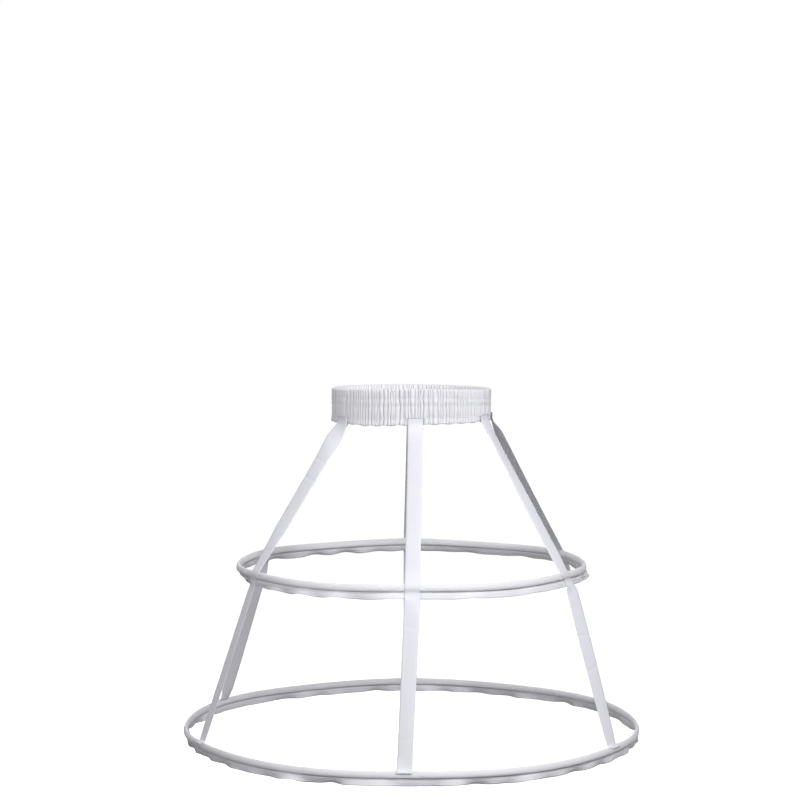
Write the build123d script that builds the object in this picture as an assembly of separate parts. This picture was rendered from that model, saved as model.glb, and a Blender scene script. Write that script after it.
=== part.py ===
from build123d import *
from math import pi, sin
import os

# Two-hoop crinoline cage, in millimetres. A gathered elastic waistband carries six flat tapes, which
# run over the outside of a hip hoop and end inside a wider hem hoop. +Z is up, -Y is the front, and
# the origin is the centre of the waist opening, half way up the waistband.

# Waist opening inside the gathers
waist_width = 219.0
waist_depth = 164.0

# Waistband: cloth gathered over a flat elastic, with three stitch rows and a ruffled lower edge
waistband_height = 48.0
first_row_drop = 12.5
second_row_drop = 22.0
third_row_drop = 39.5
gather_count = 110
lining_gather_count = 55
gather_depth = 1.5
lining_gather_depth = 1.0
gather_unevenness = 0.15
lining_thickness = 1.4
cover_thickness = 0.5
puff_height = 0.9
top_fold_drop = 2.4
ruffle_thickness = 1.8
ruffle_flare = 3.0

# Flat elastic sealed in the waistband
elastic_height = 36.5
elastic_thickness = 1.2

# Hoops, measured across the casings, and the depth of each casing's top edge below the waistband's
hip_hoop_diameter = 502.0
hem_hoop_diameter = 655.0
hip_hoop_drop = 248.5
hem_hoop_drop = 481.5

# Casing: a cloth tube over the bone, a stitched crease under it, and a flat overlocked flange
tube_thickness = 6.4
tube_height = 12.4
crease_thickness = 2.4
flange_thickness = 1.5
flange_height = 8.6
flange_flare = 0.7

# Hoop bone: a flat coated steel strip, its two ends held in a short flat sleeve
bone_height = 7.0
bone_thickness = 1.5
bone_clearance = 0.2
bone_end_gap = 2.0
joiner_length = 32.0
joiner_wall = 0.45
joiner_clearance = 0.05
hip_joiner_angle = 150.0
hem_joiner_angle = 127.0

# Tapes
tape_width = 22.0
tape_thickness = 1.1
sewing_clearance = 0.05
waistband_lap = 10.0
soft_bend_drop = 6.0
soft_bend_reach = 4.5

# Where each tape is sewn: its share of the way round the waistband from the centre front, towards
# +X, and its angles from the front at the hip casing's top and lower edges and at the hem hoop
tape_places = {
    "tape_front": (0.008, 0.0, 0.0, -1.9),
    "tape_front_right": (0.190, 57.1, 60.3, 58.4),
    "tape_back_right": (0.260, 117.4, 115.5, 116.8),
    "tape_back": (0.492, 180.0, 180.0, 180.0),
    "tape_back_left": (0.667, 238.7, 240.3, 240.9),
    "tape_front_left": (0.8265, 299.7, 297.6, 297.0),
}

# Heights that follow from the sizes above
waistband_top = waistband_height / 2
waistband_bottom = -waistband_height / 2
hip_hoop_top = waistband_top - hip_hoop_drop
hem_hoop_top = waistband_top - hem_hoop_drop
elastic_inside = lining_thickness
elastic_outside = lining_thickness + elastic_thickness
elastic_top = waistband_top - (third_row_drop - elastic_height) / 2
gather_crown = 0.8

# Stand-off of the cover's middle line from the waist opening: at a stitch row, between two, and at
# the ruffled edge
pinched = elastic_outside + cover_thickness + gather_depth * (1 + gather_unevenness) / 2
puffed = pinched + puff_height
ruffled = pinched + ruffle_flare


def oval(offset):
    """The waist opening's outline, grown by an offset."""
    return Edge.make_ellipse(waist_width / 2 + offset, waist_depth / 2 + offset)


def place(line, share):
    """A point on a closed line and the outward direction there, from the front round towards +X."""
    along = (share - 0.25) % 1
    tangent = line % along
    return line @ along, Vector(tangent.Y, -tangent.X, 0)


def gather_points(count):
    """Each point round a gathered edge: where it is, which way is out, and how far out its fold is."""
    line = oval(0)
    points = []
    for fold in range(count):
        shift = gather_unevenness * sin(1.9 * fold)
        depth = 1 + gather_unevenness * sin(2.3 * fold + 1)
        points.append((*place(line, (fold + shift) / count), -depth / 2))
        points.append((*place(line, (fold + 0.5) / count), gather_crown * depth / 2))
    return points


def gathered_solid(points, depth, rings):
    """Cloth folded to an even depth, through level rings that a drop and an offset place."""
    wires = []
    for drop, offset in rings:
        height = Vector(0, 0, waistband_top - drop)
        corners = [spot + outward * (offset + depth * fold) + height for spot, outward, fold in points]
        wires.append(Polyline(*corners, close=True).wire())
    return Solid.make_loft(wires, ruled=True)


def waistband():
    """The cloth casing: pinched on to the elastic at each stitch row and puffed out between the rows."""
    outside = gathered_solid(gather_points(gather_count), gather_depth, [
        (0, pinched),
        (top_fold_drop, puffed),
        (first_row_drop, pinched),
        (second_row_drop, pinched),
        ((second_row_drop + third_row_drop) / 2, puffed),
        (third_row_drop, pinched),
        (waistband_height, ruffled),
    ])
    inside = gathered_solid(gather_points(lining_gather_count), lining_gather_depth, [
        (0, lining_thickness / 2),
        (third_row_drop, lining_thickness / 2),
        (waistband_height, ruffled - ruffle_thickness),
    ])
    return outside - inside - band(elastic_inside, elastic_outside, elastic_top, elastic_height)


def band(inner_offset, outer_offset, top, height):
    """A plain oval band that hangs from its top edge."""
    floor = Pos(0, 0, top - height)
    ring = Face(Wire([oval(outer_offset)]), [Wire([oval(inner_offset)])])
    return extrude(floor * ring, height, dir=(0, 0, 1))


# Section of a hoop, as steps out from the middle of the casing and down from its top edge
shoulder = tube_thickness / 4
bulge_drop = tube_height * 0.45
crease = crease_thickness / 2
flange_bottom = tube_height + flange_height
outer_face = [
    (shoulder, 0),
    (tube_thickness / 2, bulge_drop),
    (crease, tube_height),
    (flange_flare + flange_thickness / 2, flange_bottom),
]
inner_face = [
    (-shoulder, 0),
    (-tube_thickness / 2, bulge_drop),
    (-crease, tube_height),
    (flange_flare - flange_thickness / 2, flange_bottom),
]
bone_drop = tube_height / 2


def swept_section(corners, diameter, top, angle=0.0, arc=360.0):
    """Turns a section about the cage's axis. The arc is centred on an angle from the front."""
    middle = diameter / 2 - tube_thickness / 2
    outline = [(middle + out, 0, top - down) for out, down in corners]
    face = Face(Polyline(*outline, close=True).wire())
    start = angle - 90 - arc / 2
    return revolve(Rot(0, 0, start) * face, Axis.Z, revolution_arc=arc)


def strip(height, thickness):
    """A flat upright rectangle in the middle of the tube."""
    low, high = bone_drop - height / 2, bone_drop + height / 2
    return [(-thickness / 2, low), (thickness / 2, low), (thickness / 2, high), (-thickness / 2, high)]


def hoop(name, diameter, top, joiner_angle):
    """A hoop's casing, its bone and the sleeve on the bone's ends."""
    round_length = pi * (diameter - tube_thickness)
    degrees_per_mm = 360 / round_length
    sleeve_grow = 2 * (joiner_wall + joiner_clearance)
    pocket_grow = sleeve_grow + 2 * bone_clearance

    casing = swept_section(outer_face + inner_face[::-1], diameter, top)
    tunnel = swept_section(
        strip(bone_height + 2 * bone_clearance, bone_thickness + 2 * bone_clearance), diameter, top
    )
    pocket = swept_section(
        strip(bone_height + pocket_grow, bone_thickness + pocket_grow),
        diameter, top, joiner_angle, (joiner_length + 2) * degrees_per_mm,
    )
    bone = swept_section(
        strip(bone_height, bone_thickness),
        diameter, top, joiner_angle + 180, 360 - bone_end_gap * degrees_per_mm,
    )
    sleeve_arc = joiner_length * degrees_per_mm
    sleeve = swept_section(
        strip(bone_height + sleeve_grow, bone_thickness + sleeve_grow), diameter, top, joiner_angle, sleeve_arc
    )
    bore = swept_section(
        strip(bone_height + 2 * joiner_clearance, bone_thickness + 2 * joiner_clearance),
        diameter, top, joiner_angle, sleeve_arc * 1.1,
    )
    return {
        f"{name}_hoop_casing": casing - tunnel - pocket,
        f"{name}_hoop_bone": bone,
        f"{name}_hoop_joiner": sleeve - bore,
    }


def tape(waist_share, hip_top_angle, hip_low_angle, hem_angle):
    """A flat tape as a ruled strip, from station to station down its sewn route."""
    waist = oval(0)
    hip = Edge.make_circle(hip_hoop_diameter / 2 - tube_thickness / 2)
    hem = Edge.make_circle(hem_hoop_diameter / 2 - tube_thickness / 2)
    lap_top = waistband_bottom + waistband_lap
    crown = gather_depth * gather_crown * (1 + gather_unevenness) / 2 + sewing_clearance

    # Stations on what the tape is sewn to, and the side of them that the tape lies on
    route = [
        (waist, waist_share, pinched + crown, lap_top, 1),
        (waist, waist_share, ruffled + crown, waistband_bottom, 1),
        (waist, waist_share, ruffled + crown + soft_bend_reach, waistband_bottom - soft_bend_drop, 1),
    ]
    for out, down in outer_face:
        hip_angle = hip_top_angle + (hip_low_angle - hip_top_angle) * down / flange_bottom
        route.append((hip, hip_angle / 360, out + sewing_clearance, hip_hoop_top - down, 1))
    for out, down in inner_face[1:]:
        route.append((hem, hem_angle / 360, out - sewing_clearance, hem_hoop_top - down, -1))
    return ruled_strip(route)


def ruled_strip(route):
    """A strip of even thickness that lies against a route of stations."""
    middles = [strip_point(*station[:4]) for station in route]
    normals = []
    for (line, share, *_), start, end in zip(route, middles, middles[1:]):
        run = end - start
        along = Vector(run.dot(place(line, share)[1]), run.Z).normalized()
        normals.append(Vector(-along.Y, along.X))

    # Both ends are cut level, and elsewhere the far face is mitred between the runs it joins
    mitres = [Vector(1 / normals[0].X, 0)]
    for above, below in zip(normals, normals[1:]):
        mitres.append((above + below) / (1 + above.dot(below)))
    mitres.append(Vector(1 / normals[-1].X, 0))

    sections = []
    for (line, share, offset, height, side), mitre in zip(route, mitres):
        far = mitre * side * tape_thickness
        half = tape_width / 2 / line.length
        near_arc = [strip_point(line, share + turn * half, offset, height) for turn in (-1, 0, 1)]
        far_arc = [
            strip_point(line, share + turn * half, offset + far.X, height + far.Y) for turn in (-1, 0, 1)
        ]
        inner, outer = (near_arc, far_arc) if side > 0 else (far_arc, near_arc)
        sections.append(Wire([
            Edge.make_three_point_arc(*inner),
            Edge.make_line(inner[2], outer[2]),
            Edge.make_three_point_arc(*outer[::-1]),
            Edge.make_line(outer[0], inner[0]),
        ]))
    return Solid.make_loft(sections, ruled=True)


def strip_point(line, share, offset, height):
    spot, outward = place(line, share)
    return spot + outward * offset + Vector(0, 0, height)


nodes = {
    "waistband_casing": waistband(),
    "waist_elastic": band(elastic_inside, elastic_outside, elastic_top, elastic_height),
}
nodes.update(hoop("hip", hip_hoop_diameter, hip_hoop_top, hip_joiner_angle))
nodes.update(hoop("hem", hem_hoop_diameter, hem_hoop_top, hem_joiner_angle))
for tape_name, sewn_at in tape_places.items():
    nodes[tape_name] = tape(*sewn_at)

os.makedirs("parts", exist_ok=True)
for node_name, shape in nodes.items():
    export_step(shape, f"parts/{node_name}.step")
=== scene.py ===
import math

import bpy
import numpy as np
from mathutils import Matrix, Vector


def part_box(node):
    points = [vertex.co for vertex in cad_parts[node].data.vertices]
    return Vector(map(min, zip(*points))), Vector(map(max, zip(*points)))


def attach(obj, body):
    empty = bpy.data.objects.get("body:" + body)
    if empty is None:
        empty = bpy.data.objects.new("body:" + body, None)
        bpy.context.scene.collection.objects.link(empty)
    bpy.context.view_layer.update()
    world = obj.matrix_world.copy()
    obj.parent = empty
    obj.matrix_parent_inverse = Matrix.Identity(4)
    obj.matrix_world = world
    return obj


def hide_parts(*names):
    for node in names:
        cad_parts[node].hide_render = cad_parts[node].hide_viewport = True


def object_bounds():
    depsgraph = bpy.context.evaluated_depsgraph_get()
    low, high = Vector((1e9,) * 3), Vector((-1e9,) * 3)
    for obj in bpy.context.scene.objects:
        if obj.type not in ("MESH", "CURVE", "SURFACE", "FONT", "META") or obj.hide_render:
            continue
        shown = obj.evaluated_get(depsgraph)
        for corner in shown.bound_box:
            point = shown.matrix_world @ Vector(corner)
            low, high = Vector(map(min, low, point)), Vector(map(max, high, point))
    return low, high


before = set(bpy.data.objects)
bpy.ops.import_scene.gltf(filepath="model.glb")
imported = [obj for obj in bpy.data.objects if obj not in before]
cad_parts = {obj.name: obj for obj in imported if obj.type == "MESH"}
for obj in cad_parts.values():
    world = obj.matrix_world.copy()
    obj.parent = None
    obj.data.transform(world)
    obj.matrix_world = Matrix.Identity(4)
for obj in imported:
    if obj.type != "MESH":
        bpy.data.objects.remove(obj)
cad_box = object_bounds()
mm = 0.001


# Camera: a long lens 3.1 m in front of the cage, a little above the waistband and a little to the
# left of its middle, tilted down by about 3.5 degrees, so that the cage fills the frame's lower half.
camera_place = (-0.0163, -3.143, 0.1951)
camera_tilt_down = 3.45
focal_length_px = 2198.0
frame_px = 800.0

camera_data = bpy.data.cameras.new("front_camera")
camera_data.sensor_width = 36.0
camera_data.lens = camera_data.sensor_width * focal_length_px / frame_px
camera = bpy.data.objects.new("front_camera", camera_data)
bpy.context.collection.objects.link(camera)
camera.location = camera_place
camera.rotation_euler = (math.radians(90 - camera_tilt_down), 0, 0)
bpy.context.scene.camera = camera
bpy.context.scene.view_settings.view_transform = "Standard"


# Light: a soft box high over the front right, one further round to the right, one close to the
# waistband that falls off towards the hem, and others on the left and behind, in a dim room. The
# camera itself sees plain white behind the cage.
cage_middle = Vector((0, 0, -0.22))
waist_middle = Vector((0, 0, -0.02))


def soft_box(name, aim, direction, distance, size, level):
    """A round lamp that lights what it is aimed at to a level, where one is full light."""
    lamp = bpy.data.lights.new(name, "AREA")
    lamp.shape = "DISK"
    lamp.size = size
    lamp.energy = level * (math.pi * distance) ** 2
    holder = bpy.data.objects.new(name, lamp)
    bpy.context.collection.objects.link(holder)
    holder.location = aim + Vector(direction).normalized() * distance
    holder.rotation_euler = (aim - holder.location).to_track_quat("-Z", "Y").to_euler()


soft_box("key_box", cage_middle, (0.3, -0.55, 0.78), 3.2, 0.8, 0.42)
soft_box("right_box", cage_middle, (0.75, -0.45, 0.5), 3.2, 1.0, 0.27)
soft_box("waist_box", waist_middle, (-0.1, -0.97, 0.25), 1.3, 0.5, 0.39)
soft_box("left_box", cage_middle, (-0.8, -0.5, 0.35), 3.2, 1.2, 0.15)
soft_box("back_box", cage_middle, (-0.45, 0.65, 0.55), 3.2, 1.2, 0.3)

room_light = 0.01
world = bpy.data.worlds.new("pale_room")
bpy.context.scene.world = world
world.use_nodes = True
nodes, links = world.node_tree.nodes, world.node_tree.links
nodes.clear()


def seen_directly(nodes, links):
    """One where a ray comes from the camera, a reflection or a clear surface, and nought elsewhere."""
    path = nodes.new("ShaderNodeLightPath")
    either = nodes.new("ShaderNodeMath")
    either.operation = "MAXIMUM"
    links.new(path.outputs["Is Camera Ray"], either.inputs[0])
    links.new(path.outputs["Is Glossy Ray"], either.inputs[1])
    any_of_three = nodes.new("ShaderNodeMath")
    any_of_three.operation = "MAXIMUM"
    links.new(either.outputs[0], any_of_three.inputs[0])
    links.new(path.outputs["Is Transmission Ray"], any_of_three.inputs[1])
    return any_of_three.outputs[0]


room = nodes.new("ShaderNodeBackground")
room.inputs["Color"].default_value = (0.97, 0.98, 1.0, 1)
room.inputs["Strength"].default_value = room_light
white = nodes.new("ShaderNodeBackground")
white.inputs["Color"].default_value = (1, 1, 1, 1)
white.inputs["Strength"].default_value = 1.0
choose = nodes.new("ShaderNodeMixShader")
links.new(seen_directly(nodes, links), choose.inputs["Fac"])
links.new(room.outputs[0], choose.inputs[1])
links.new(white.outputs[0], choose.inputs[2])
world_out = nodes.new("ShaderNodeOutputWorld")
links.new(choose.outputs[0], world_out.inputs["Surface"])


# Floor: a plain pale floor well below the hem, because the cage hangs from the waist. It keeps a soft
# shadow of the hoops, and further out it fades to white.
floor_drop = 0.42
floor_reach = 40.0
floor_glow = (0.30, 1.0)
floor_fade = (0.7, 1.3)

floor_mesh = bpy.data.meshes.new("floor")
floor_height = cad_box[0][2] - floor_drop
floor_mesh.from_pydata(
    [(x * floor_reach, y * floor_reach, floor_height) for x, y in ((-1, -1), (1, -1), (1, 1), (-1, 1))],
    [],
    [(0, 1, 2, 3)],
)
floor = bpy.data.objects.new("floor", floor_mesh)
bpy.context.collection.objects.link(floor)
floor_finish = bpy.data.materials.new("pale_floor")
floor_finish.use_nodes = True
nodes, links = floor_finish.node_tree.nodes, floor_finish.node_tree.links
nodes.clear()
matt = nodes.new("ShaderNodeBsdfDiffuse")
matt.inputs["Color"].default_value = (0.86, 0.86, 0.86, 1)
dim_matt = nodes.new("ShaderNodeBsdfDiffuse")
dim_matt.inputs["Color"].default_value = (0.3, 0.3, 0.3, 1)
glow = nodes.new("ShaderNodeEmission")
spot = nodes.new("ShaderNodeTexCoord")
reach = nodes.new("ShaderNodeVectorMath")
reach.operation = "LENGTH"
flat_spot = nodes.new("ShaderNodeVectorMath")
flat_spot.operation = "MULTIPLY"
flat_spot.inputs[1].default_value = (1, 1, 0)
links.new(spot.outputs["Object"], flat_spot.inputs[0])
links.new(flat_spot.outputs[0], reach.inputs[0])
fade = nodes.new("ShaderNodeMapRange")
fade.inputs["From Min"].default_value, fade.inputs["From Max"].default_value = floor_fade
fade.inputs["To Min"].default_value, fade.inputs["To Max"].default_value = floor_glow
links.new(reach.outputs["Value"], fade.inputs["Value"])
links.new(fade.outputs[0], glow.inputs["Strength"])
lit = nodes.new("ShaderNodeAddShader")
links.new(matt.outputs[0], lit.inputs[0])
links.new(glow.outputs[0], lit.inputs[1])
choose = nodes.new("ShaderNodeMixShader")
links.new(seen_directly(nodes, links), choose.inputs["Fac"])
links.new(dim_matt.outputs[0], choose.inputs[1])
links.new(lit.outputs[0], choose.inputs[2])
floor_out = nodes.new("ShaderNodeOutputMaterial")
links.new(choose.outputs[0], floor_out.inputs["Surface"])
floor_mesh.materials.append(floor_finish)


# Waist elastic: a flat woven loop sealed in the waistband. It keeps its modelled shape and only gets
# a finish of fine grain. Its outer face is the line that the gathered cloth is laid out from.
def plain_finish(node, colour, roughness, metallic=0.0):
    """A finish of fine grain for a piece that is sealed in cloth."""
    material = bpy.data.materials.new(node + "_finish")
    material.use_nodes = True
    nodes, links = material.node_tree.nodes, material.node_tree.links
    shader = nodes["Principled BSDF"]
    shader.inputs["Roughness"].default_value = roughness
    shader.inputs["Metallic"].default_value = metallic
    grain = nodes.new("ShaderNodeTexNoise")
    grain.inputs["Scale"].default_value = 700.0
    tint = nodes.new("ShaderNodeMixRGB")
    tint.inputs[1].default_value = (*colour, 1)
    tint.inputs[2].default_value = (*(0.86 * c for c in colour), 1)
    links.new(grain.outputs["Fac"], tint.inputs[0])
    links.new(tint.outputs[0], shader.inputs["Base Color"])
    bump = nodes.new("ShaderNodeBump")
    bump.inputs["Strength"].default_value = 0.3
    bump.inputs["Distance"].default_value = 0.1 * mm
    links.new(grain.outputs["Fac"], bump.inputs["Height"])
    links.new(bump.outputs[0], shader.inputs["Normal"])
    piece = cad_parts[node]
    piece.data.materials.clear()
    piece.data.materials.append(material)


plain_finish("waist_elastic", (0.84, 0.84, 0.84), 0.85)

elastic_low, elastic_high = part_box("waist_elastic")
waist_half_width = (elastic_high[0] - elastic_low[0]) / 2
waist_half_depth = (elastic_high[1] - elastic_low[1]) / 2
oval_turn = np.linspace(0, 2 * math.pi, 2881)
oval_x = waist_half_width * np.sin(oval_turn)
oval_y = -waist_half_depth * np.cos(oval_turn)
oval_run = np.concatenate([[0], np.cumsum(np.hypot(np.diff(oval_x), np.diff(oval_y)))])
waist_round = oval_run[-1]
oval_share = oval_run / waist_round


def on_waist(share, offset, height):
    """Points off the elastic's outer face, by the share of the way round from the front to +X."""
    share, offset, height = np.broadcast_arrays(share, offset, height)
    at = np.interp(share % 1, oval_share, oval_turn)
    out_x, out_y = np.sin(at) / waist_half_width, -np.cos(at) / waist_half_depth
    size = np.hypot(out_x, out_y)
    x = waist_half_width * np.sin(at) + out_x / size * offset
    y = -waist_half_depth * np.cos(at) + out_y / size * offset
    return np.stack([x, y, height], axis=-1)


# Tapes' places: where each modelled tape is sewn to the waistband, the hip hoop and the hem hoop,
# read from the modelled tapes, because the cloth is flattened under them.
tape_names = [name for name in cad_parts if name.startswith("tape_")]
sewn_band = 3 * mm


def seat_angle(node, height):
    """The angle from the front towards +X at which a modelled tape passes a height."""
    points = np.array([v.co[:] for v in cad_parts[node].data.vertices])
    near = points[np.abs(points[:, 2] - height) < sewn_band]
    middle = near.mean(axis=0)
    rough = math.atan2(middle[0], -middle[1])
    off = (np.arctan2(near[:, 0], -near[:, 1]) - rough + math.pi) % (2 * math.pi) - math.pi
    return rough + (off.min() + off.max()) / 2


def hoop_height(hoop):
    low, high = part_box(hoop + "_hoop_bone")
    return (low[2] + high[2]) / 2


def share_at(angle):
    """The share of the way round the waist at an angle from the front."""
    at = math.atan2(math.sin(angle) / waist_half_width, math.cos(angle) / waist_half_depth)
    return float(np.interp(at % (2 * math.pi), oval_turn, oval_share))


# Two tapes are sewn a little off their modelled places, in degrees at the hip and at the hem
tape_strays = {"tape_front_left": (0.5, -1.4), "tape_back_left": (-0.6, 0.6)}
tape_seats = {}
hip_low, hip_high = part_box("hip_hoop_casing")
for tape_name in tape_names:
    hip_stray, hem_stray = np.radians(tape_strays.get(tape_name, (0, 0)))
    hip_top_angle = seat_angle(tape_name, hip_high[2]) + hip_stray
    hip_low_angle = seat_angle(tape_name, hip_low[2]) + hip_stray
    tape_seats[tape_name] = {
        "waist": share_at(seat_angle(tape_name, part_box(tape_name)[1][2])),
        "hip": (hip_top_angle + hip_low_angle) / 2,
        "hip_lean": hip_low_angle - hip_top_angle,
        "hem": seat_angle(tape_name, hoop_height("hem")) + hem_stray,
    }


# Waistband casing: one strip of plain-weave white cloth, folded in half over the elastic, gathered
# by three stitch rows and left as a ruffle with an overlocked edge below them.
band_low, band_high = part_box("waistband_casing")
band_top, band_bottom = band_high[2], band_low[2]
band_rows = [12.5 * mm, 22.0 * mm, 39.5 * mm]
band_height = band_top - band_bottom
cloth_thickness = 0.4 * mm
cloth_rest = 0.45 * mm
elastic_thickness = 1.2 * mm
fold_count = 142
fold_height = 4.2 * mm
fold_uneven = 0.55
fold_lean = 0.45
puff_height = 0.2 * mm
ruffle_flare = 1.0 * mm
edge_waves = 31
edge_wave_height = 0.7 * mm
top_roll = 1.2 * mm
top_roll_height = 2.2 * mm

# The columns of the mesh across each fold, and how far the band's top and lower edges rise above
# level at shares of the way round
gather_phases = np.array([0, 0.14, 0.28, 0.43, 0.58, 0.73, 0.87])
band_turns = np.array([0, 0.08, 0.17, 0.25, 0.5, 0.75, 0.83, 0.9, 0.96, 1])
band_top_rise = np.array([1.5, 0.6, -1.2, -2.0, -1.0, -0.6, -0.2, 0.6, 1.4, 1.5]) * mm
band_low_rise = np.array([0.3, 0.8, 1.8, 2.2, 0.8, 0.6, 0.3, -2.2, -0.8, 0.3]) * mm
chance = np.random.default_rng(11)


def weave_mesh(name, points, caps=()):
    """A mesh over a grid of points [row, column] whose rows close round, and any flat caps beside it.

    Its map is in metres along and across the cloth.
    """
    rows, columns = points.shape[:2]
    across = np.linalg.norm(np.diff(points, axis=0), axis=2).mean(axis=1)
    along = np.linalg.norm(np.diff(points, axis=1, append=points[:, :1]), axis=2).mean(axis=0)
    across = np.concatenate([[0], np.cumsum(across)])
    along = np.concatenate([[0], np.cumsum(along)])
    row, column = np.meshgrid(np.arange(rows - 1), np.arange(columns), indexing="ij")
    row, column = row.ravel(), column.ravel()
    corner_steps = ((0, 0), (0, 1), (1, 1), (1, 0))
    corners = [(row + a) * columns + (column + b) % columns for a, b in corner_steps]
    mesh = bpy.data.meshes.new(name)
    mesh.from_pydata(points.reshape(-1, 3).tolist(), [], np.stack(corners, axis=1).tolist() + list(caps))
    places = [np.stack([along[column + b], across[row + a]], axis=1) for a, b in corner_steps]
    cap_places = np.zeros(8 * len(caps))
    layer = mesh.uv_layers.new(name="cloth_map")
    layer.data.foreach_set("uv", np.concatenate([np.stack(places, axis=1).ravel(), cap_places]))
    mesh.polygons.foreach_set("use_smooth", [True] * len(row) + [False] * len(caps))
    piece = bpy.data.objects.new(name, mesh)
    bpy.context.collection.objects.link(piece)
    return piece


def give_thickness(piece, thickness):
    """Thickness to both sides of a sheet's middle, with its raw edges closed."""
    solid = piece.modifiers.new("cloth thickness", "SOLIDIFY")
    solid.thickness = thickness
    solid.offset = 0.0
    solid.use_even_offset = False


def cloth_finish(
    name, colour, thread_pitch, twill=False, weave_strength=0.5, fuzz_strength=0.25, painted_shade_layer=""
):
    """Woven cloth: crossed threads, or twill's slanted ribs, under soft fibre and a faint unevenness.

    Where a layer of the mesh is named, the cloth's colour is darkened where that layer is low: painted
    shade in the valleys between gathered folds.
    """
    material = bpy.data.materials.new(name)
    material.use_nodes = True
    nodes, links = material.node_tree.nodes, material.node_tree.links
    shader = nodes["Principled BSDF"]
    shader.inputs["Roughness"].default_value = 0.82
    shader.inputs["Specular IOR Level"].default_value = 0.25
    shader.inputs["Sheen Weight"].default_value = 0.2
    shader.inputs["Sheen Roughness"].default_value = 0.45

    place = nodes.new("ShaderNodeTexCoord")
    split = nodes.new("ShaderNodeSeparateXYZ")
    links.new(place.outputs["UV"], split.inputs[0])

    def math_node(operation, first, second):
        node = nodes.new("ShaderNodeMath")
        node.operation = operation
        for socket, value in zip(node.inputs, (first, second)):
            if isinstance(value, float):
                socket.default_value = value
            elif value is not None:
                links.new(value, socket)
        return node.outputs[0]

    turns = 2 * math.pi / thread_pitch
    if twill:
        slant = math_node("ADD", split.outputs["X"], split.outputs["Y"])
        warp = math_node("SINE", math_node("MULTIPLY", slant, turns), None)
        weft = math_node("SINE", math_node("MULTIPLY", split.outputs["Y"], turns * 1.9), None)
        threads = math_node("ADD", warp, math_node("MULTIPLY", weft, 0.35))
    else:
        warp = math_node("SINE", math_node("MULTIPLY", split.outputs["X"], turns), None)
        weft = math_node("SINE", math_node("MULTIPLY", split.outputs["Y"], turns), None)
        threads = math_node("MULTIPLY", warp, weft)
    weave = nodes.new("ShaderNodeBump")
    weave.inputs["Strength"].default_value = weave_strength
    weave.inputs["Distance"].default_value = 0.06 * mm
    links.new(threads, weave.inputs["Height"])

    fibre = nodes.new("ShaderNodeTexNoise")
    fibre.inputs["Scale"].default_value = 1400.0
    fibre.inputs["Detail"].default_value = 3.0
    links.new(place.outputs["Object"], fibre.inputs["Vector"])
    fuzz = nodes.new("ShaderNodeBump")
    fuzz.inputs["Strength"].default_value = fuzz_strength
    fuzz.inputs["Distance"].default_value = 0.08 * mm
    links.new(fibre.outputs["Fac"], fuzz.inputs["Height"])
    links.new(weave.outputs[0], fuzz.inputs["Normal"])
    links.new(fuzz.outputs[0], shader.inputs["Normal"])

    cloud = nodes.new("ShaderNodeTexNoise")
    cloud.inputs["Scale"].default_value = 24.0
    cloud.inputs["Detail"].default_value = 4.0
    links.new(place.outputs["Object"], cloud.inputs["Vector"])
    tint = nodes.new("ShaderNodeMixRGB")
    tint.inputs[1].default_value = (*colour, 1)
    tint.inputs[2].default_value = (colour[0] * 0.93, colour[1] * 0.93, colour[2] * 0.96, 1)
    links.new(cloud.outputs["Fac"], tint.inputs[0])
    shade = nodes.new("ShaderNodeMixRGB")
    shade.blend_type = "MULTIPLY"
    shade.inputs[2].default_value = (0.93, 0.93, 0.94, 1)
    links.new(math_node("MULTIPLY", math_node("SUBTRACT", 1.0, threads), 0.25), shade.inputs[0])
    links.new(tint.outputs[0], shade.inputs[1])
    colour_out = shade.outputs[0]
    # Painted shade: the colour is multiplied darker where the named layer of the mesh is low
    if painted_shade_layer:
        crest = nodes.new("ShaderNodeAttribute")
        crest.attribute_name = painted_shade_layer
        between = nodes.new("ShaderNodeMixRGB")
        between.blend_type = "MULTIPLY"
        between.inputs[2].default_value = (0.42, 0.42, 0.45, 1)
        links.new(math_node("SUBTRACT", 1.0, crest.outputs["Fac"]), between.inputs[0])
        links.new(colour_out, between.inputs[1])
        colour_out = between.outputs[0]
    links.new(colour_out, shader.inputs["Base Color"])
    return material


def ruffle_share(drop):
    """The share of the way down the ruffle, nought above the lowest stitch row."""
    return np.clip((drop - band_rows[-1]) / (band_height - band_rows[-1]), 0, 1)


def pinch_at(drop):
    """How far the cloth stands puffed at a drop below the top: nought at a stitch row, one between."""
    stops = [0.0, *band_rows]
    puff = np.ones_like(drop)
    for high, low in zip(stops, stops[1:]):
        inside = (drop >= high) & (drop <= low)
        along = (drop - high) / (low - high)
        lift = np.sin(math.pi * np.clip(along, 0, 1)) ** 0.55
        if high == 0.0:
            lift = np.where(along < 0.5, 1.0, lift)
        puff = np.where(inside, lift, puff)
    return np.where(drop > band_rows[-1], ruffle_share(drop) ** 0.6, puff)


# Fold lines cross the top edge, each stitch row and the lower edge at slightly different places, and
# each fold is taller or flatter in each channel. The gathers are drawn up most at the front and back.
line_drops = np.array([0.0, *band_rows, band_height])
even = np.arange(fold_count) / fold_count
wander = chance.uniform(-fold_uneven, fold_uneven, fold_count) * 0.7
line_places = even + (wander + chance.uniform(-1, 1, (5, fold_count)) * fold_lean * 0.5) / fold_count
line_places = np.concatenate([line_places, line_places[:, :1] + 1], axis=1)
channel_heights = chance.uniform(0.5, 1.1, fold_count) * chance.uniform(0.7, 1.25, (4, fold_count))
drawn_up = 0.64 + 0.36 * np.cos(4 * math.pi * even)


def fold_columns(drop):
    """The share round the waist of each column of the mesh at a drop."""
    lines = np.array([np.interp(drop, line_drops, line_places[:, n]) for n in range(fold_count + 1)])
    return (lines[:-1, None] + gather_phases * np.diff(lines)[:, None]).ravel()


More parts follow.
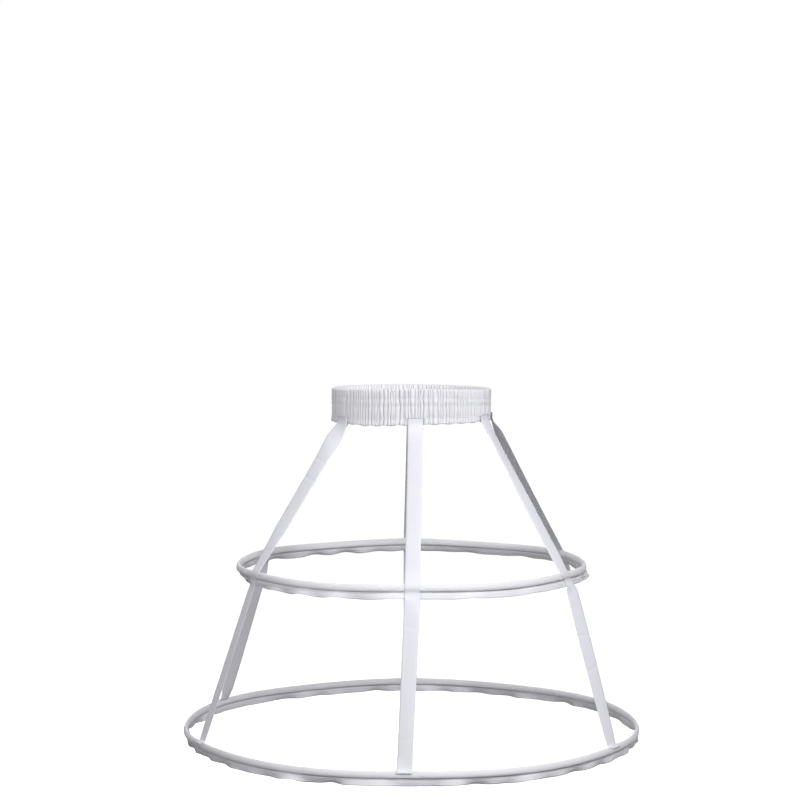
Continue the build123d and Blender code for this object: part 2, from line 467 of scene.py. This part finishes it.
def fold_shape(drop):
    """How tall each column of a gathered fold is at a drop, nought in a valley and about one on top."""
    channel_middles = (line_drops[:-1] + line_drops[1:]) / 2
    heights = [np.interp(drop, channel_middles, channel_heights[:, n]) for n in range(fold_count)]
    crest = np.sin(math.pi * gather_phases) ** 0.4
    return (np.array(heights)[:, None] * drawn_up[:, None] * crest).ravel()


def under_tapes(share):
    """One where a tape lies on the waistband and nought elsewhere."""
    pressed = np.zeros_like(share)
    for seat in tape_seats.values():
        away = np.abs((share - seat["waist"] + 0.5) % 1 - 0.5) * waist_round
        pressed = np.maximum(pressed, np.clip((15 * mm - away) / (3 * mm), 0, 1))
    return pressed


def pressed_flat(share, drop):
    """What is left of the folds' height where a tape presses on the ruffle, one elsewhere."""
    return 1 - 0.75 * under_tapes(share) * min(1.0, ruffle_share(drop) * 4)


def band_level(share, drop):
    """The height of the cloth at a drop, since both its edges rise and fall a little round the waist."""
    top_rise = np.interp(share % 1, band_turns, band_top_rise)
    low_rise = np.interp(share % 1, band_turns, band_low_rise)
    down = drop / band_height
    return band_top - drop + top_rise * (1 - down) + low_rise * down


def outer_cloth(drop):
    """One row of the casing's outer side."""
    share = fold_columns(drop)
    puff = float(pinch_at(np.array(drop)))
    folds = fold_shape(drop)
    ruffled = ruffle_share(drop)
    offset = cloth_rest + puff_height * puff * (1 - ruffled) + ruffle_flare * ruffled
    offset = offset + fold_height * (0.74 + 0.26 * puff) * folds * pressed_flat(share, drop)
    return on_waist(share, offset, band_level(share, drop))


def inner_cloth(drop):
    """One row of the casing's inner side, which lies flatter because the body presses it."""
    share = fold_columns(drop)
    ruffled = ruffle_share(drop)
    folds = fold_shape(drop)
    against = -elastic_thickness - cloth_rest - 0.7 * mm * (1.2 - folds)
    folded = fold_height * 0.9 * folds * pressed_flat(share, drop)
    with_outer = cloth_rest + ruffle_flare * ruffled + folded - 0.8 * mm
    return on_waist(share, against * (1 - ruffled) + with_outer * ruffled, band_level(share, drop))


edge_wave = edge_wave_height * np.sin(2 * math.pi * fold_columns(band_height) * edge_waves + 1.0)
outer_drops = np.concatenate([
    np.linspace(band_height, band_rows[2], 6)[:-1],
    np.linspace(band_rows[2], band_rows[1], 9)[:-1],
    np.linspace(band_rows[1], band_rows[0], 6)[:-1],
    np.linspace(band_rows[0], top_roll, 7),
])
inner_drops = np.concatenate([
    np.linspace(top_roll, band_rows[2], 7),
    np.linspace(band_rows[2], band_height, 3)[1:],
])
band_grid = [outer_cloth(drop) for drop in outer_drops]
fold_start, fold_end = band_grid[-1], inner_cloth(top_roll)
for step in (0.22, 0.5, 0.78):
    over_top = fold_start * (1 - step) + fold_end * step
    over_top[:, 2] += top_roll_height * math.sin(math.pi * step) * (0.6 + 0.4 * fold_shape(0.0))
    band_grid.append(over_top)
band_grid += [inner_cloth(drop) for drop in inner_drops]
band_grid = np.array(band_grid)
band_grid[0, :, 2] += edge_wave
band_grid[-1, :, 2] += edge_wave

waistband = weave_mesh("gathered_waistband", band_grid)
give_thickness(waistband, cloth_thickness)
gathered_cloth = cloth_finish("gathered_cotton", (0.93, 0.93, 0.955), 0.55 * mm, painted_shade_layer="painted_valley_lightness")

# Painted shade in the valleys between gathers: how much each column across a fold is darkened, from the
# bottom of the valley over the crest
valley_shade = np.array([0.95, 0.1, 0, 0, 0, 0, 0.1])
# A layer of the mesh for the painted shade: low in the valleys, lowest where the gathers are drawn up
# most
painted_valley_layer = waistband.data.attributes.new("painted_valley_lightness", "FLOAT", "POINT")
painted_valley_lightness = 1 - valley_shade * drawn_up[:, None]
painted_valley_layer.data.foreach_set("value", np.tile(painted_valley_lightness.ravel(), len(band_grid)))
waistband.data.materials.append(gathered_cloth)
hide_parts("waistband_casing")
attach(waistband, "root")


# Waistband thread: three rows of lockstitch through cloth and elastic, in and out of both sides, and
# an overlock stitch that binds the ruffle's raw edge.
thread_width = 0.42 * mm
fine_thread_width = 0.4 * mm
overlock_thread_width = 0.7 * mm


def thread_piece(name, paths, width, closed=True):
    """Sewing thread along one or more paths of points."""
    curve = bpy.data.curves.new(name, "CURVE")
    curve.dimensions = "3D"
    curve.bevel_depth = width / 2
    curve.bevel_resolution = 0
    for path in paths:
        spline = curve.splines.new("POLY")
        spline.points.add(len(path) - 1)
        spline.points.foreach_set("co", np.concatenate([path, np.ones((len(path), 1))], axis=1).ravel())
        spline.use_cyclic_u = closed
    piece = bpy.data.objects.new(name, curve)
    bpy.context.collection.objects.link(piece)
    return piece


def surface_along(row_points, count):
    """Even steps along a closed row of surface points."""
    closed = np.concatenate([row_points, row_points[:1]])
    run = np.concatenate([[0], np.cumsum(np.linalg.norm(np.diff(closed, axis=0), axis=1))])
    at = np.linspace(0, run[-1], count, endpoint=False)
    return np.stack([np.interp(at, run, closed[:, axis]) for axis in range(3)], axis=1)


def away_from_axis(points, distance):
    """One or more points moved level, away from the cage's upright axis."""
    flat = points * (1, 1, 0)
    return points + flat / np.linalg.norm(flat, axis=-1, keepdims=True) * np.asarray(distance)[..., None]


stitch_length = 3.2 * mm
stitch_beats = np.array([0.3, 0.42, 0.3, -0.45]) * mm
band_threads = []
stitches = int(waist_round / stitch_length)
stitch_share = np.arange(stitches * len(stitch_beats)) / (stitches * len(stitch_beats))
for row_drop in band_rows:
    for side, face in ((1, cloth_rest + fold_height * 0.5), (-1, -elastic_thickness - 0.9 * mm)):
        offset = face + side * np.tile(stitch_beats, stitches)
        band_threads.append(on_waist(stitch_share, offset, band_level(stitch_share, row_drop)))
waist_thread = thread_piece("waistband_stitches", band_threads, thread_width)

overlock_pitch = 2.2 * mm
overlock_bite = 3.0 * mm
loops = int(waist_round / overlock_pitch)
bound_top_out = surface_along(outer_cloth(band_height - overlock_bite), loops * 4)
bound_top_in = surface_along(inner_cloth(band_height - overlock_bite), loops * 4)
bound_edge = surface_along((band_grid[0] + band_grid[-1]) / 2 - (0, 0, 0.3 * mm), loops * 4)
overlock = bound_edge.copy()
overlock[0::4] = away_from_axis(bound_top_out[0::4], 0.3 * mm)
overlock[2::4] = away_from_axis(bound_top_in[2::4], -0.3 * mm)
waist_overlock = thread_piece("waistband_overlock", [overlock], thread_width)

thread_finish = cloth_finish("sewing_thread", (0.88, 0.88, 0.90), 0.4 * mm, twill=True)
for piece in (waist_thread, waist_overlock):
    piece.data.materials.append(thread_finish)
    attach(piece, "root")


# Hoop bones and joiners: coated spring steel strip bent to a ring, its ends held in a crimped sleeve.
# They are sealed in the casings and keep their modelled shapes.
for hoop in ("hip", "hem"):
    plain_finish(hoop + "_hoop_bone", (0.88, 0.88, 0.88), 0.35)
    plain_finish(hoop + "_hoop_joiner", (0.62, 0.62, 0.64), 0.3, metallic=1.0)


# Hoop casings: a strip of the same cloth folded round the bone and stitched close under it, so that a
# tube holds the bone and two layers hang below as a wavy flange with an overlocked edge.
casing_cloth_thickness = 0.6 * mm
tube_half_width = 2.9 * mm
tube_half_height = 5.0 * mm
crease_tuck = 0.9 * mm
flange_height = 10.4 * mm
flange_gap = 0.65 * mm
hoop_rise = 0.9 * mm
tape_pull = 0.9 * mm
bone_half_thickness = 0.75 * mm
tuck_count = 26
flange_rows = 6
tube_rows = 23


class Hoop:
    """One hoop's ring line, the tapes' places on it and how its flange waves."""

    def __init__(self, name, columns, wave, flare, folded, seed):
        self.name = name
        self.flare = flare
        self.folded = folded
        low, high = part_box(name + "_hoop_bone")
        self.height = (low[2] + high[2]) / 2
        self.radius = (high[1] - low[1]) / 2 - bone_half_thickness
        self.round = 2 * math.pi * self.radius
        self.angles = np.arange(columns) / columns * 2 * math.pi
        self.wave = wave
        self.seats = [seat[name] for seat in tape_seats.values()]
        chance = np.random.default_rng(seed)
        turns = np.arange(int(self.round / (170 * mm)), int(self.round / (45 * mm)), 3)
        self.turns = turns
        self.sizes = chance.uniform(0.3, 1.0, len(turns))
        self.starts = chance.uniform(0, 2 * math.pi, len(turns))
        self.tucks = [
            (chance.uniform(0, 2 * math.pi), chance.choice([-1, 1]), chance.uniform(0.25, 0.6) * mm)
            for tuck in range(tuck_count)
        ]
        for seat in self.seats:
            for side in (-1, 1):
                away = side * chance.uniform(15, 19) * mm / self.radius
                self.tucks.append((seat + away, -side, -chance.uniform(0.5, 0.8) * mm))

    def seat_nearness(self, angle, reach):
        """One at a tape's middle, falling to nought over a reach along the hoop."""
        near = np.zeros_like(angle)
        for seat in self.seats:
            away = np.abs((angle - seat + math.pi) % (2 * math.pi) - math.pi) * self.radius
            near = np.maximum(near, np.exp(-((away / reach) ** 2)))
        return near

    def ripple(self, angle, shift=0.0):
        """An uneven wave along the hoop, between about minus one and one."""
        waves = [
            size * np.sin(turns * angle + start + shift)
            for turns, size, start in zip(self.turns, self.sizes, self.starts)
        ]
        return np.sum(waves, axis=0) / (0.55 * self.sizes.sum())

    def point(self, angle, out, up):
        angle, out, up = np.broadcast_arrays(angle, out, up)
        height = self.height + up + hoop_rise * np.cos(6 * angle)
        radius = self.radius + out
        return np.stack([radius * np.sin(angle), -radius * np.cos(angle), height], axis=-1)

    def tube(self, angle, turn):
        """A point of the tube. The turn runs from the outer crease at -90 degrees over the top."""
        squeeze = 1 - 0.2 * self.seat_nearness(angle, 10 * mm)
        fullness = squeeze * (1 + 0.07 * self.ripple(angle, 1.3))
        side, rise = np.cos(turn), np.sin(turn)
        out = tube_half_width * fullness * side * (1 - 0.22 * rise)
        pinch = np.clip(-rise, 0, 1) ** 14
        out = out * (1 - pinch) + np.sign(side) * flange_gap / 2 * pinch
        up = tube_half_height * rise + crease_tuck * pinch
        up = up + tape_pull * self.seat_nearness(angle, 17 * mm) * np.clip(rise, 0, 1)
        for start, lean, size in self.tucks:
            away = (angle - start + math.pi) % (2 * math.pi) - math.pi
            slant = away * self.radius - lean * up * 1.6
            dent = size * np.exp(-((slant / (2.6 * mm)) ** 2))
            out = out + np.sign(side) * dent * np.clip(1 - rise ** 2, 0, 1)
        return self.point(angle, out, up)

    def flange(self, angle, down, side):
        """A point of one of the flange's two layers, by the share of the way down from the crease."""
        held = 1 - 0.8 * self.seat_nearness(angle, 16 * mm)
        slant = self.flare + self.wave * self.ripple(angle) * held
        for middle, reach, turn in self.folded:
            away = (angle - math.radians(middle) + math.pi) % (2 * math.pi) - math.pi
            slant = slant + turn * np.exp(-((away * self.radius / reach) ** 2))
        slant = slant * down ** 0.6
        drop = flange_height * (1 + 0.07 * self.ripple(angle, 2.1)) * down
        out = drop * np.sin(slant) + side * flange_gap / 2 * np.cos(slant)
        return self.point(angle, out, crease_tuck - tube_half_height - drop * np.cos(slant))

    def rows(self):
        """The strip's section, from the outer layer's raw edge over the tube to the inner one's."""
        angle = self.angles
        down = np.linspace(1, 0, flange_rows, endpoint=False)
        turns = np.radians(np.linspace(-90, 270, tube_rows))
        turns[0] += 0.02
        turns[-1] -= 0.02
        section = [self.flange(angle, share, 1) for share in down]
        section += [self.tube(angle, np.full_like(angle, turn)) for turn in turns]
        section += [self.flange(angle, share, -1) for share in down[::-1]]
        return np.array(section)


# Where the flange is folded under or out: the angle from the front in degrees, the reach along the
# hoop, and the turn in radians
hip_folded = [(-82, 70 * mm, -1.1), (88, 40 * mm, 0.2)]
hem_folded = [(-28, 18 * mm, 0.7), (-19, 16 * mm, -0.6), (-9, 25 * mm, 0.5), (-75, 60 * mm, -0.4)]
hip = Hoop("hip", 1000, 0.3, 0.35, hip_folded, 3)
hem = Hoop("hem", 1260, 0.5, 0.0, hem_folded, 5)
casing_cloth = cloth_finish("casing_cotton", (0.91, 0.91, 0.935), 0.5 * mm)
hoop_stitch = 2.8 * mm
hoop_overlock_pitch = 3.0 * mm

for hoop in (hip, hem):
    casing = weave_mesh(hoop.name + "_casing_cloth", hoop.rows())
    give_thickness(casing, casing_cloth_thickness)
    casing.data.materials.append(casing_cloth)
    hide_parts(hoop.name + "_hoop_casing")
    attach(casing, "root")

    # A row of lockstitch in the crease, a second on the flange, and an overlock stitch on its edge
    stitches = int(hoop.round / hoop_stitch)
    angle = np.arange(stitches * 4) / (stitches * 4) * 2 * math.pi
    beats = np.tile(np.array([0.3, 0.42, 0.3, -0.3]) * mm, stitches)
    paths = []
    for down in (0.06, 0.52):
        for side in (1, -1):
            row = hoop.flange(angle, np.full_like(angle, down), side)
            paths.append(away_from_axis(row, side * (casing_cloth_thickness / 2 + beats * 0.6)))
    stitching = thread_piece(hoop.name + "_casing_stitches", paths, fine_thread_width)

    loops = int(hoop.round / hoop_overlock_pitch)
    angle = np.arange(loops * 4) / (loops * 4) * 2 * math.pi
    binding = hoop.flange(angle, np.full_like(angle, 1.03), 0)
    surface = casing_cloth_thickness / 2 + 0.25 * mm
    for beat, side in ((0, 1), (2, -1)):
        bite = hoop.flange(angle[beat::4], np.full(loops, 0.6), side)
        binding[beat::4] = away_from_axis(bite, side * surface)
    bound_edge = thread_piece(hoop.name + "_casing_overlock", [binding], overlock_thread_width)
    for piece in (stitching, bound_edge):
        piece.data.materials.append(thread_finish)
        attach(piece, "root")


# Tapes: six flat woven tapes. Each is sewn outside the waistband's ruffle and crosses outside the hip
# casing. Its end laps over the top of the hem casing, as in the photograph.
tape_width = 21 * mm
tape_thickness = 0.9 * mm
tape_columns = 13
tape_step = 1.6 * mm
tape_softness = 2.2 * mm
tape_lap = 9.5 * mm
tape_cloth = cloth_finish(
    "tape_twill", (0.855, 0.855, 0.905), 0.9 * mm, twill=True, weave_strength=0.06, fuzz_strength=0.05
)


def tape_stations(seat, across):
    """The middle of the tape's thickness at each station down its route, for one column across it."""
    half = tape_thickness / 2
    share = seat["waist"] + across * tape_width / waist_round
    edge = float(band_level(np.array(share), band_height))
    rest = cloth_rest + ruffle_flare + fold_height * 0.42 + cloth_thickness / 2 + half
    stations = [
        on_waist(share, rest - ruffle_flare + 0.9 * mm, edge + tape_lap),
        on_waist(share, rest, edge + 2 * mm),
        on_waist(share, rest + 1.2 * mm, edge - 2 * mm),
        on_waist(share, rest + 3.4 * mm, edge - 6 * mm),
    ]
    lift = casing_cloth_thickness / 2 + half + 0.15 * mm
    for turn, lean in ((58, -0.42), (35, -0.35), (10, -0.25), (-20, -0.1)):
        angle = np.array(seat["hip"] + lean * seat["hip_lean"] + across * tape_width / hip.radius)
        stations.append(away_from_axis(hip.tube(angle, np.radians(turn)), lift))
    for down, lean, stand_off in ((0.05, 0.15, 0.7 * mm), (0.55, 0.3, 0.6 * mm), (1.08, 0.5, 0.3 * mm)):
        angle = np.array(seat["hip"] + lean * seat["hip_lean"] + across * tape_width / hip.radius)
        stations.append(away_from_axis(hip.flange(angle, np.array(down), 1), lift + stand_off))

    # Over the top of the hem casing's tube, where the end is turned under and so stands off
    angle = np.array(seat["hem"] + across * tape_width / hem.radius)
    for turn, turned_under in ((150, 0), (120, 0), (95, 0), (70, 0.2), (45, 0.6), (22, 1.0)):
        off = lift + turned_under * mm
        spot = hem.tube(angle, np.radians(turn)) + (0, 0, off * math.sin(math.radians(turn)))
        stations.append(away_from_axis(spot, off * math.cos(math.radians(turn))))
    return np.array(stations)


def face_normals(sheet):
    """The direction out of the sheet's face at each of its points."""
    normal = np.cross(np.gradient(sheet, axis=1), np.gradient(sheet, axis=0))
    return normal / np.linalg.norm(normal, axis=2)[:, :, None]


def turned(sheet, turns):
    """The sheet turned about its own middle line, by degrees that are given down its height."""
    middle = sheet[:, tape_columns // 2]
    along = np.gradient(middle, axis=0)
    along /= np.linalg.norm(along, axis=1)[:, None]
    heights, degrees = zip(*turns)
    turn = np.radians(np.interp(-middle[:, 2], -np.array(heights) * mm, degrees))
    across = sheet - middle[:, None]
    sine, cosine = np.sin(turn)[:, None, None], np.cos(turn)[:, None, None]
    axis = np.broadcast_to(along[:, None], across.shape)
    level = (across * axis).sum(axis=2, keepdims=True) * axis
    return middle[:, None] + across * cosine + np.cross(axis, across) * sine + level * (1 - cosine)


def tape_sheet(seat, creases, turns):
    """The tape's middle sheet [step along, column across], its bends softened and its creases raised."""
    shares_across = np.linspace(-0.5, 0.5, tape_columns)
    columns = np.stack([tape_stations(seat, across) for across in shares_across], axis=1)
    middle = columns[:, tape_columns // 2]
    run = np.concatenate([[0], np.cumsum(np.linalg.norm(np.diff(middle, axis=0), axis=1))])
    steps = int(run[-1] / tape_step)
    at = np.linspace(0, run[-1], steps)
    sheet = np.stack([
        np.stack([np.interp(at, run, columns[:, column, axis]) for axis in range(3)], axis=1)
        for column in range(tape_columns)
    ], axis=1)
    sheet = turned(sheet, turns)
    spread = np.arange(-4, 5) * (run[-1] / steps)
    weights = np.exp(-((spread / tape_softness) ** 2))
    weights /= weights.sum()
    padded = np.concatenate([np.repeat(sheet[:1], 4, axis=0), sheet, np.repeat(sheet[-1:], 4, axis=0)])
    soft = sum(weight * padded[n:n + steps] for n, weight in enumerate(weights))
    soft[0], soft[-1] = sheet[0], sheet[-1]
    across = shares_across * tape_width
    lift = np.zeros(soft.shape[:2])
    for share, lean, size in creases:
        slant = at[:, None] - share * run[-1] - lean * across[None]
        lift += size * np.exp(-((slant / (1.7 * mm)) ** 2))
    return soft + face_normals(soft) * lift[:, :, None]


def tape_body(name, sheet):
    """The tape as a closed strip with rounded edges and flat caps on its two ends."""
    normal = face_normals(sheet)
    place = np.linspace(-1, 1, tape_columns)
    half = tape_thickness / 2 * np.sqrt(np.clip(1 - np.abs(place) ** 10, 0.12, 1))
    front = sheet + normal * half[None, :, None]
    back = sheet - normal * half[None, :, None]
    loop = np.concatenate([front, back[:, ::-1]], axis=1)
    count = loop.shape[1]
    last = (loop.shape[0] - 1) * count
    caps = []
    for n in range(tape_columns - 1):
        caps.append((n, n + 1, count - 2 - n, count - 1 - n))
        caps.append((last + n + 1, last + n, last + count - 1 - n, last + count - 2 - n))
    return weave_mesh(name, loop, caps)


# Creases: the share of the way down, the slant across the tape, and the height
tape_creases = {
    "tape_front": [(0.62, 0.25, 0.35 * mm), (0.9, -0.2, 0.25 * mm)],
    "tape_front_left": [(0.14, 0.3, 0.5 * mm), (0.2, 0.15, 0.5 * mm), (0.43, -0.2, 0.3 * mm)],
    "tape_front_right": [(0.68, 0.2, 0.4 * mm), (0.77, -0.25, 0.35 * mm)],
    "tape_back_right": [(0.3, 0.2, 0.3 * mm)],
    "tape_back": [(0.25, -0.2, 0.35 * mm), (0.7, 0.3, 0.3 * mm)],
    "tape_back_left": [(0.35, 0.25, 0.35 * mm)],
}

# How far each tape is turned about its own length, in degrees, at heights in millimetres from the
# middle of the waistband. The front left and front right turns were worked out from the widths that
# the photograph shows.
flat_tape = [(0, 0), (-500, 0)]
tape_turns = {
    "tape_front": [
        (-25, 0), (-50, 14), (-200, 14), (-224, 0), (-246, 0), (-265, 14), (-440, 14), (-458, 0),
    ],
    "tape_back_left": [
        (-25, 0), (-200, 8), (-224, 0), (-246, 0), (-262, 18), (-400, 22), (-440, 20), (-458, 0),
    ],
    "tape_back_right": [
        (-25, 0), (-41, -22), (-68, -20), (-88, -16), (-128, -9), (-168, -4), (-224, 0),
    ],
    "tape_front_left": [
        (-25, 0), (-41, -27), (-49, -29), (-68, -18), (-88, -15), (-168, -15), (-188, -6), (-207, -3),
        (-224, 0), (-246, 0), (-254, -3), (-440, -3), (-458, 0),
    ],
    "tape_front_right": [
        (-25, 0), (-48, -9), (-88, -3), (-128, 3), (-206, 6), (-224, 0), (-244, 4), (-252, 18),
        (-290, 21), (-327, 24), (-393, 18), (-445, 12), (-458, 4),
    ],
}

# The heights of the stitch rows across each tape, and how far a thread stands off at each beat
tape_stitch_beats = np.array([0.1, 0.2, 0.1, -0.25]) * mm
tape_stitches = 29
stitch_heights = [
    band_bottom + 8.0 * mm,
    band_bottom + 3.2 * mm,
    hip.height - tube_half_height + 0.4 * mm,
    hem.height + 3.2 * mm,
]
tape_paths = []
for name in tape_names:
    sheet = tape_sheet(tape_seats[name], tape_creases[name], tape_turns.get(name, flat_tape))
    tape = tape_body(name + "_cloth", sheet)
    tape.data.materials.append(tape_cloth)
    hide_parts(name)
    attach(tape, "root")

    # Lockstitch rows across the tape: two at the waistband, one at the hip casing, one at the hem
    normal = face_normals(sheet)
    heights = sheet[:, tape_columns // 2, 2]
    run = np.linspace(0.06, 0.94, tape_stitches) * (tape_columns - 1)
    beats = np.resize(tape_stitch_beats, tape_stitches)
    for row_height in stitch_heights:
        nearest = int(np.argmin(np.abs(heights - row_height)))
        line = sheet[nearest] + normal[nearest] * tape_thickness / 2
        at = np.arange(tape_columns)
        path = np.stack([np.interp(run, at, line[:, axis]) for axis in range(3)], axis=1)
        lift = np.stack([np.interp(run, at, normal[nearest][:, axis]) for axis in range(3)], axis=1)
        tape_paths.append(path + lift * beats[:, None])
tape_thread = thread_piece("tape_stitches", tape_paths, fine_thread_width, closed=False)
tape_thread.data.materials.append(thread_finish)
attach(tape_thread, "root")
